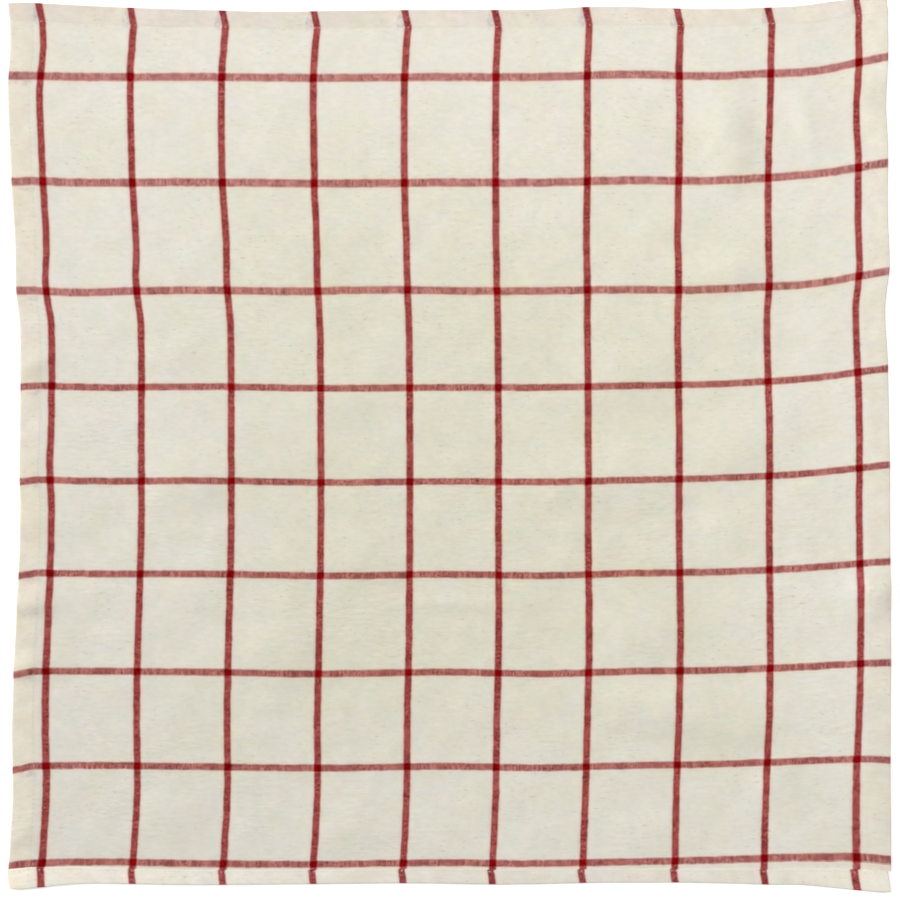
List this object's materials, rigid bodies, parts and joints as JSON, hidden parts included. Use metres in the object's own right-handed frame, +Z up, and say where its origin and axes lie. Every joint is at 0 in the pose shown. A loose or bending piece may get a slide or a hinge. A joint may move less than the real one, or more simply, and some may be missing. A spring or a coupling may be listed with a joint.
{
  "type": "cloth napkin",
  "caption": "Square table napkin of plain-weave cream cloth with a fine red windowpane check and narrow sewn hems, laid out flat with soft ripples.",
  "frame": {"origin": "middle of the laid outline, on the surface that the napkin lies on", "axes": "+X to the right and +Y to the top of the napkin's face, +Z up from the surface"},
  "size_m": [0.513, 0.52, 0.004],
  "materials": {
    "cloth": "matte plain weave, cream with thin red stripes both ways"
  },
  "bodies": {
    "root": {"napkin": "cloth"}
  },
  "joints": []
}
